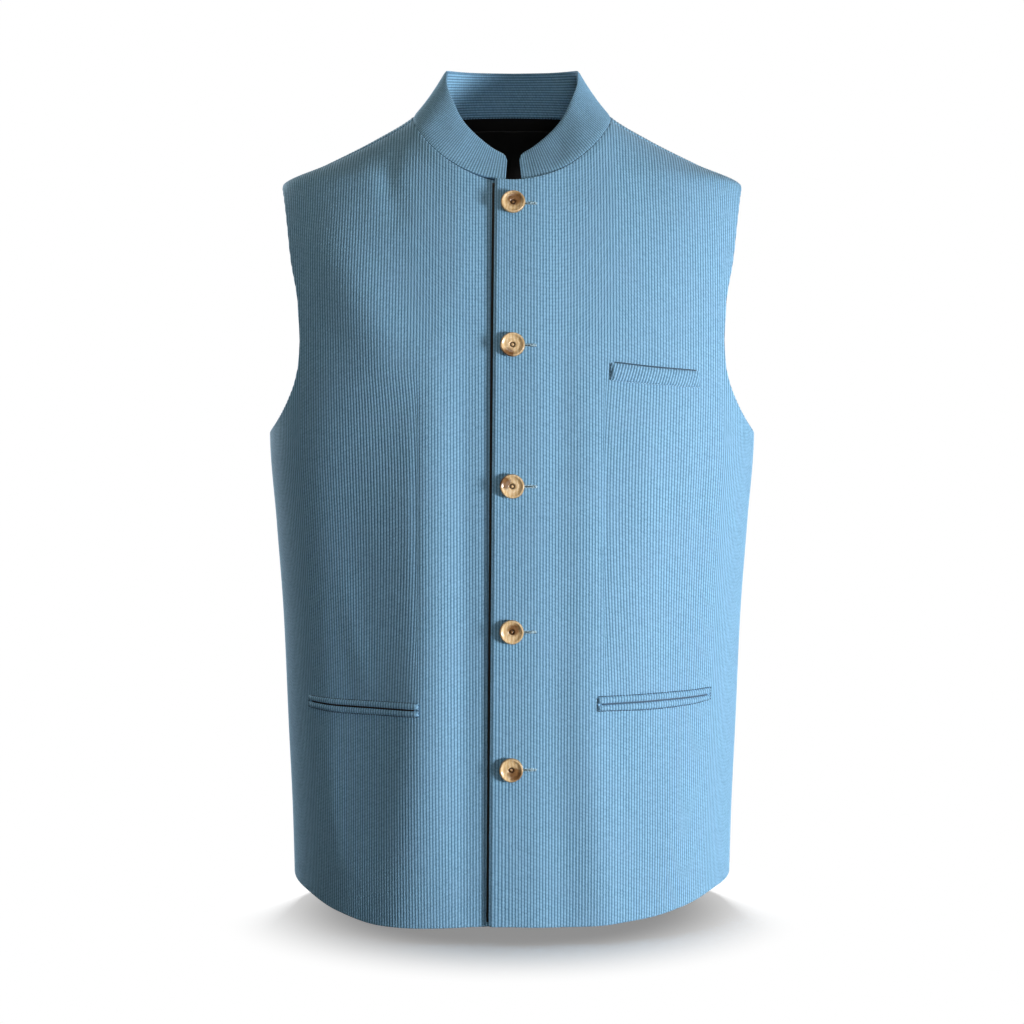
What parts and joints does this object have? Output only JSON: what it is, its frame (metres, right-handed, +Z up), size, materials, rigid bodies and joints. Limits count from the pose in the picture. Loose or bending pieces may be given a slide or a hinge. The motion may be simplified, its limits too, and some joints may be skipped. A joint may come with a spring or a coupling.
{
  "type": "nehru jacket",
  "caption": "Sleeveless stand-collared jacket of fine blue corded cloth, buttoned down the front, with a breast pocket and lower pockets, filled out as worn.",
  "frame": {"origin": "centre of the neck, at the height where the shoulder seams meet the collar, which is where the wearer's shoulders carry the jacket", "axes": "+Z up, -Y towards the front of the jacket, +X towards the wearer's left"},
  "size_m": [0.418, 0.2408, 0.7195],
  "materials": {
    "cord_cloth": "fine upright cords, matt, soft sheen",
    "lining": "smooth black lining, low sheen",
    "horn": "polished mottled horn"
  },
  "bodies": {
    "root": {"front_left": "cord_cloth", "front_right": "cord_cloth", "back": "cord_cloth", "collar_outer": "cord_cloth", "collar_inner": "cord_cloth", "chest_welt": "cord_cloth", "pocket_left_upper": "cord_cloth", "pocket_left_lower": "cord_cloth", "pocket_right_upper": "cord_cloth", "pocket_right_lower": "cord_cloth", "lining_back": "lining", "button_1": "horn", "button_2": "horn", "button_3": "horn", "button_4": "horn", "button_5": "horn"}
  },
  "joints": []
}
